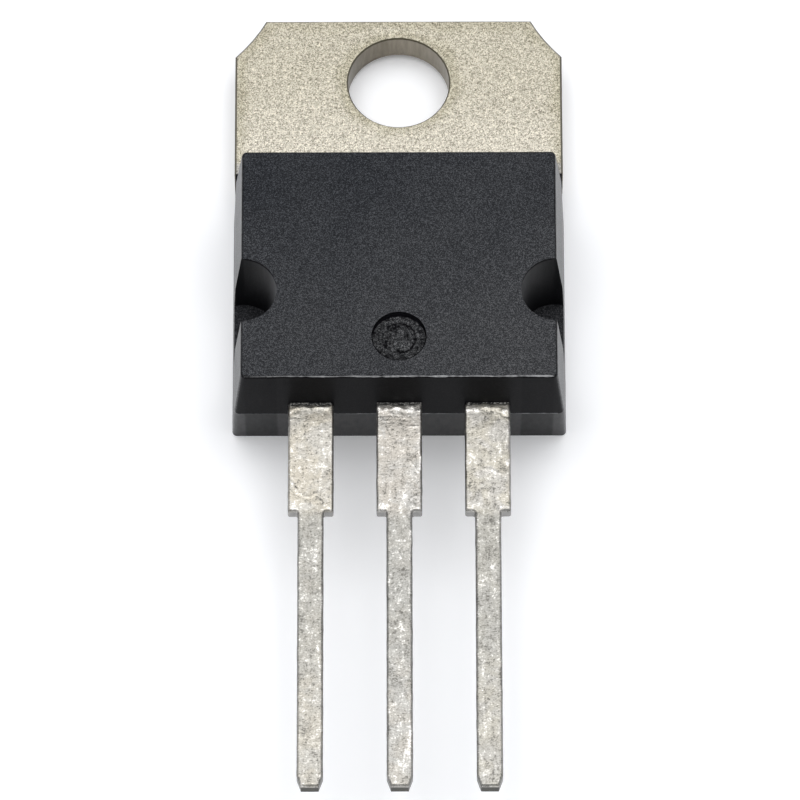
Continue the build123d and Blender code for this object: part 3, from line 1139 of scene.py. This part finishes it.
def skin_at(point, normal, centre_x, marks, seed, rim_painted_light):
    """How far the solder stands out from the lead at a point, and its shade."""
    below_dip = dip_y - point.y
    swell = 0.007 * lumps(point, 1.4, seed) + 0.0035 * lumps(point, 4.5, seed)
    grit = 0.0025 * lumps(point, 11, seed)
    rim = math.exp(-(((below_dip - RIM_DROP) / RIM_WIDTH) ** 2))
    rim *= max(0, 0.3 + 2.0 * lumps(point, 4.5, seed + 9))
    # The rim gets painted light: a highlight, or shade where its number is below 0, plus random tone.
    shade = rim_painted_light * rim + 0.35 * lumps(point, 2.2, seed + 6) + 0.3 * lumps(point, 5.5, seed + 8)
    upright = abs(normal.z)
    height = SKIN_THICKNESS * (0.2 + 0.8 * upright) + (swell + grit) * (0.5 + 0.5 * upright)
    height += RIM_HEIGHT * rim * max(0, normal.z)
    if normal.z > 0.3:
        spot = Vector((point.x - centre_x, lead_exit_y - point.y))
        ragged = 1 + 0.7 * lumps(point, 6, seed + 2)
        raised, tone = marked(spot, marks, ragged)
        height += raised
        shade += tone
    return height, shade


def solder_skin(name, lead_name, centre_x, marks, seed, rim_painted_light, material):
    """The skin of one lead as an object of its own."""
    net = voxel_remesh(cut_copy(nodes[lead_name]))
    shaped = bmesh.new()
    shaped.from_mesh(net)
    bmesh.ops.smooth_vert(
        shaped, verts=shaped.verts, factor=0.5, use_axis_x=True, use_axis_y=True, use_axis_z=True
    )
    shaped.normal_update()
    marks = ready(marks)
    reach = max(vertex.co.y for vertex in shaped.verts)
    points = []
    shades = []
    for vertex in shaped.verts:
        point = vertex.co
        height, shade = skin_at(point, vertex.normal, centre_x, marks, seed, rim_painted_light)
        near_dip = min(1, max(0, 1 - (reach - point.y) / DIP_FRINGE))
        ragged = dip_y - reach + 0.05 * lumps(point, 4, seed + 4) + 0.04 * lumps(point, 11, seed)
        nicks = 0.016 * lumps(point, 2.4, seed + 12) * abs(vertex.normal.x)
        stand_out = max(LEAST_SKIN, height + nicks)
        points.append(point + vertex.normal * stand_out + Vector((0, near_dip * ragged, 0)))
        shades.append(shade)
    faces = [[vertex.index for vertex in face.verts] for face in shaped.faces]
    shaped.free()
    bpy.data.meshes.remove(net)
    piece_from(name, points, faces, shades, material)


print(f"skin about {SKIN_THICKNESS} mm thick, with a rim {RIM_HEIGHT} mm higher")

# %% [markdown]
# ## Finish of the skin
#
# Solder that has been handled and has aged is not one colour. It is silvery where it froze clean,
# and cream where it has oxidised. One noise could mottle it, but it would look like cloud. So
# several kinds are added up: worms, which are the edges of its crystals, grit, broad mottling, and
# wiped streaks along the lead. Their sum is added to the shade that the mesh carries, which is
# random tone, painted shade in the pits, painted highlights on raised marks, and painted light along
# the rim, and the total picks a darker or a brighter colour. Below the shoulders the solder is
# greyer. The sides are painted darker than the faces, as shade, and the tips were clipped after the
# dip, so their end faces are bare and dark.

# %% Sides and ends of the skin


def darker_sides(finish, place, colour, mottle):
    """The colour of the skin, with painted shade on its sides, and darker front faces and clipped
    tips.
    """
    facing = finish.facing()
    # Painted shade: the sides of the lead are darker than its faces.
    side = finish.step(abs(facing.x), 0.60, 0.88) * 0.85
    side_painted_shade = finish.mix(mottle, (0.10, 0.10, 0.10), (0.30, 0.295, 0.28))
    under_rim = finish.step(place.z, lead_high.z - 0.08, lead_high.z - 0.15)
    front = finish.step(facing.y, -0.6, -0.85) * under_rim
    front_tin = finish.mix(mottle, (0.24, 0.24, 0.235), (0.43, 0.42, 0.405))
    at_tip = front * finish.step(place.y, lead_low.y + 0.3, lead_low.y + 0.2)
    clipped = finish.mix(mottle, (0.02, 0.02, 0.02), (0.12, 0.115, 0.10))
    for share, tin in ((side, side_painted_shade), (front, front_tin), (at_tip, clipped)):
        colour = finish.mix(share, colour, tin)
    return colour


print(f"the clipped tips are at y {lead_low.y:.2f} mm")

# %% Finish of the skin
GREYER_BELOW = 3.6


def solder_finish(name, pale, cream):
    """Solder between two shades, the second for where its oxide shows."""
    finish = Finish(name)
    millimetres = finish.millimetres()
    place = finish.split(millimetres)
    patches = finish.noise(millimetres, 1.4, 3, 0.6, 0.6)
    mottle = finish.noise(millimetres, 4.5, 3, 0.6, 0.8)
    worms = finish.noise(finish.stretch(millimetres, 8, 14, 11), 1, 2, 0.55, 1.3)
    grit = finish.noise(millimetres, 21, 1, 0.5)
    wiped = finish.noise(finish.stretch(millimetres, 6, 1.2, 6), 1, 2, 0.6, 0.4)

    solder = finish.mix(finish.step(patches, 0.38, 0.62), pale, cream)
    below_dip = dip_y - place.y
    narrow = finish.step(below_dip, GREYER_BELOW - 0.3, GREYER_BELOW + 0.3)
    greyed = narrow * (0.36 + 0.36 * finish.step(below_dip, 10.0, 7.5))
    solder = finish.mix(greyed, solder, (0.324, 0.322, 0.305))

    texture = (worms - 0.5) * 1.7 + (grit - 0.5) * 1.4 + mottle - 0.5 + (wiped - 0.5) * 1.2
    # The mesh's shade brings in the painted highlights and shade of the marks and of the rim.
    tone = finish.painted("shade") * 0.42 + texture
    darkened = finish.mix(finish.step(tone, 0.05, -0.75), solder, (0.145, 0.140, 0.128))
    colour = finish.mix(finish.step(tone, 0.12, 0.90), darkened, (0.91, 0.895, 0.87))
    # Dark specks all over, denser along the dip line.
    fringe = finish.step(below_dip, 0.28, 0.0)
    dark_specks = finish.step((worms - 0.5) * 1.2 + (grit - 0.5) * 0.8 + fringe * 0.40, 0.33, 0.58)
    colour = finish.mix(dark_specks * (0.12 + 0.50 * fringe), colour, (0.070, 0.068, 0.062))

    return finish.surface(
        Base_Color=darker_sides(finish, place, colour, mottle),
        Metallic=1.0,
        Roughness=0.30 + mottle * 0.25,
        Normal=finish.bump(worms * 0.6 + grit * 0.4, 0.007),
    )


print(f"the solder is greyer from {GREYER_BELOW} mm below the dip line")

# %% [markdown]
# ## Three skins
#
# The leads could share one skin, copied along the row, but no two come out of the bath alike. So
# each has its own marks, its own seed for the noise, its own painted light along the rim, a highlight
# on two leads and shade on the base lead, and its own two shades of solder, and a loop makes all
# three.

# %% Three skins
LEAD_PITCH = 2.63

skins = {
    "base_lead": (base_marks, 11.3, -0.5, (0.472, 0.455, 0.420), (0.481, 0.449, 0.388)),
    "collector_frame": (collector_marks, 27.9, 1.0, (0.446, 0.437, 0.420), (0.446, 0.420, 0.383)),
    "emitter_lead": (emitter_marks, 43.1, 0.7, (0.446, 0.432, 0.407), (0.454, 0.431, 0.377)),
}
for place_in_row, (node_name, (marks, seed, shine, pale, cream)) in enumerate(skins.items()):
    skin_name = node_name.replace("frame", "lead") + "_solder"
    solder = solder_finish(skin_name + "_finish", pale, cream)
    lead_centre_x = LEAD_PITCH * (place_in_row - 1)
    solder_skin(skin_name, node_name, lead_centre_x, marks, seed, shine, solder)
